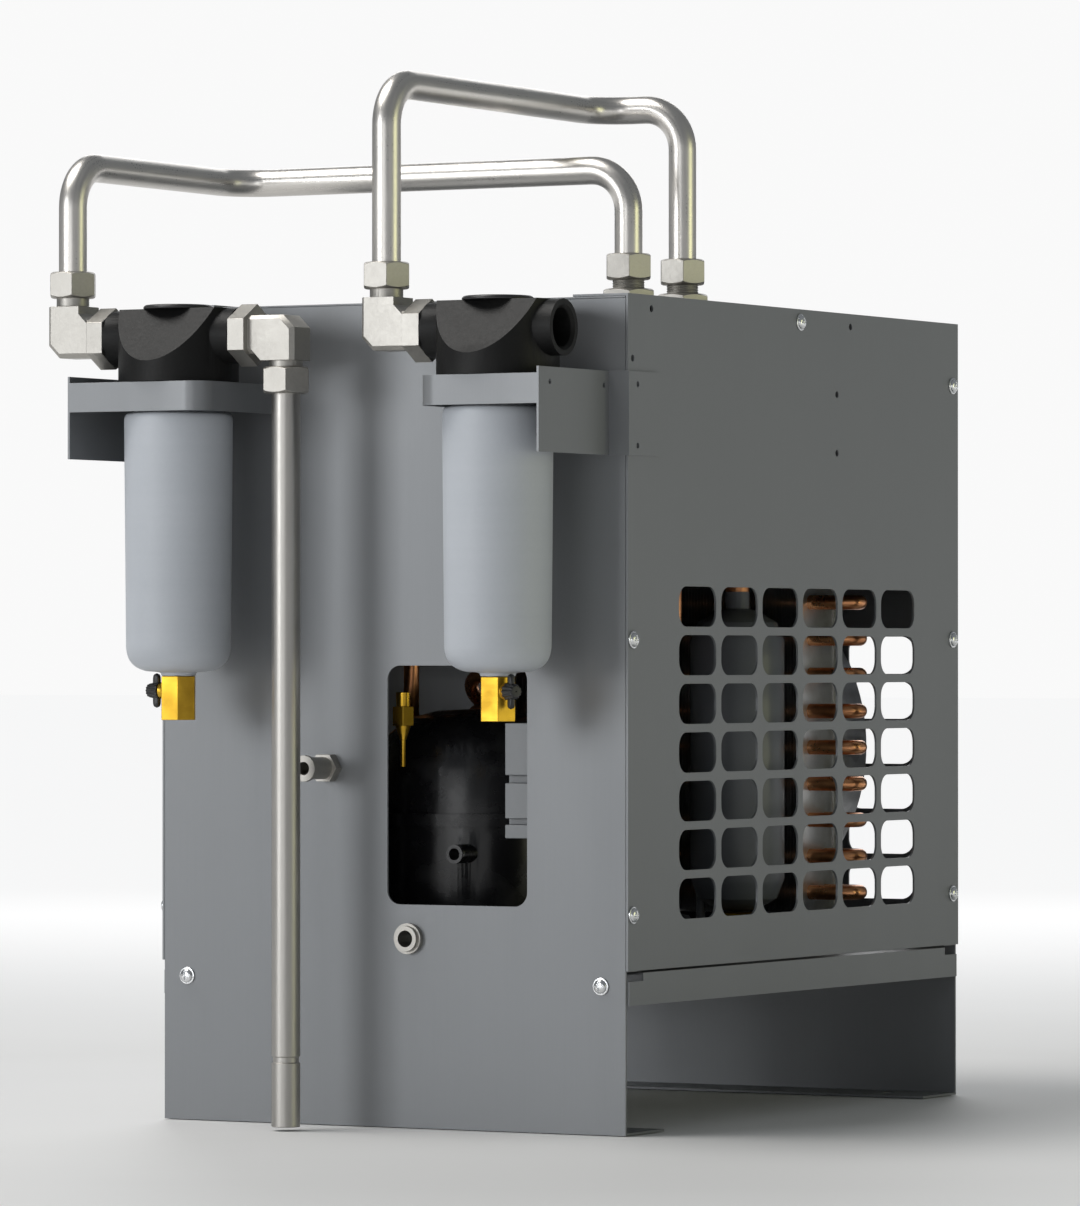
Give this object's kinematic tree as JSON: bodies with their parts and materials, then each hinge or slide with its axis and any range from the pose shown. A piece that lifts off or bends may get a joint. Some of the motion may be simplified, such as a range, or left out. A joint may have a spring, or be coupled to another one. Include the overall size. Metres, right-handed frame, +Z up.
{
  "type": "refrigerated air dryer",
  "caption": "Refrigerated compressed-air dryer in a sheet-metal cabinet, with a pre-filter and after-filter, pipe loops and a riser.",
  "frame": {"origin": "centre of the four base bolt holes, on the plane the cabinet stands on", "axes": "+Z up; -Y is the front, with the window and the filters; +X is the side with the filter outlet and the measured grille"},
  "size_m": [0.3922, 0.5605, 0.661],
  "materials": {
    "cabinet_paint": "satin powder coat, blue grey",
    "zinc_screw": "bright zinc plate",
    "black_shell": "gloss black enamel on steel",
    "black_rubber": "matte",
    "grey_plastic": "moulded",
    "copper": null,
    "brass": "machined",
    "fin_aluminium": "thin rolled fins",
    "galvanised": "zinc coated sheet",
    "black_paint": "semi-gloss",
    "fan_plastic": "moulded",
    "foam_cover": "closed-cell foam skin",
    "grey_tank": "satin",
    "black_plastic": "moulded",
    "hose_plastic": "extruded nylon tube",
    "steel_fitting": "pickled stainless forging",
    "steel_pipe": "drawn stainless tube",
    "switch_red": "moulded",
    "head_black": "satin epoxy on cast aluminium",
    "bowl_paint": "satin epoxy on pressed aluminium",
    "filter_media": "pleated fibre with end caps"
  },
  "bodies": {
    "cabinet": {"air_inlet_fitting": "steel_fitting", "air_outlet_fitting": "steel_fitting", "base_tray": "cabinet_paint", "bowl_seals": "black_rubber", "cable_gland": "steel_fitting", "capillary_tube": "copper", "compressor_bolts": "zinc_screw", "compressor_shell": "black_shell", "condenser_fins": "fin_aluminium", "condenser_tubes": "copper", "control_box": "grey_plastic", "discharge_pipe": "copper", "drain_coil": "black_plastic", "drain_outlet": "steel_fitting", "drain_tube": "hose_plastic", "drain_valve_body": "brass", "exchanger_bracket": "galvanised", "fan_guard": "black_paint", "fan_motor": "black_paint", "fan_shroud": "galvanised", "filter_drier": "copper", "front_panel": "cabinet_paint", "heat_exchanger": "foam_cover", "hot_gas_valve": "brass", "left_bracket": "cabinet_paint", "left_cap": "black_plastic", "left_elbow": "steel_fitting", "left_element": "filter_media", "left_head": "head_black", "left_loop_pipe": "steel_pipe", "left_side_panel": "cabinet_paint", "moisture_separator": "grey_tank", "panel_screws": "zinc_screw", "pipe_nuts": "steel_fitting", "rear_panel": "cabinet_paint", "right_bracket": "cabinet_paint", "right_cap": "black_plastic", "right_elbow": "steel_fitting", "right_element": "filter_media", "right_head": "head_black", "right_loop_pipe": "steel_pipe", "right_side_panel": "cabinet_paint", "riser_elbow": "steel_fitting", "riser_pipe": "steel_pipe", "rubber_grommets": "black_rubber", "separator_pipe": "copper", "suction_pipe": "copper", "switch_housing": "black_plastic", "terminal_cover": "grey_plastic", "top_cover": "cabinet_paint"},
    "fan": {"fan_rotor": "fan_plastic"},
    "rocker_body": {"rocker": "switch_red"},
    "left_bowl_body": {"left_bowl": "bowl_paint", "left_drain_valve": "brass"},
    "left_ring_body": {"left_lock_ring": "black_plastic"},
    "left_knob_body": {"left_drain_knob": "black_plastic"},
    "right_bowl_body": {"right_bowl": "bowl_paint", "right_drain_valve": "brass"},
    "right_ring_body": {"right_lock_ring": "black_plastic"},
    "right_knob_body": {"right_drain_knob": "black_plastic"}
  },
  "joints": [
    {"name": "fan_spin", "type": "hinge", "parent": "cabinet", "child": "fan", "pos_m": [0, 0.166, 0.2355], "axis": [0, 1, 0], "continuous": true},
    {"name": "mains_switch", "type": "hinge", "parent": "cabinet", "child": "rocker_body", "pos_m": [-0.171, -0.17, 0.44], "axis": [0, 1, 0], "range_deg": [0, 20]},
    {"name": "left_bowl_drop", "type": "slide", "parent": "cabinet", "child": "left_bowl_body", "axis": [0, 0, -1], "range_m": [0, 0.15]},
    {"name": "left_ring_turn", "type": "hinge", "parent": "left_bowl_body", "child": "left_ring_body", "pos_m": [-0.123, -0.287, 0.459], "axis": [0, 0, 1], "range_deg": [0, 45]},
    {"name": "left_drain_turn", "type": "hinge", "parent": "left_bowl_body", "child": "left_knob_body", "pos_m": [-0.123, -0.287, 0.2742], "axis": [-1, 0, 0], "range_deg": [0, 90]},
    {"name": "right_bowl_drop", "type": "slide", "parent": "cabinet", "child": "right_bowl_body", "axis": [0, 0, -1], "range_m": [0, 0.15]},
    {"name": "right_ring_turn", "type": "hinge", "parent": "right_bowl_body", "child": "right_ring_body", "pos_m": [0.109, -0.287, 0.459], "axis": [0, 0, 1], "range_deg": [0, 45]},
    {"name": "right_drain_turn", "type": "hinge", "parent": "right_bowl_body", "child": "right_knob_body", "pos_m": [0.109, -0.287, 0.2742], "axis": [0.866, -0.5, 0], "range_deg": [0, 90]}
  ]
}
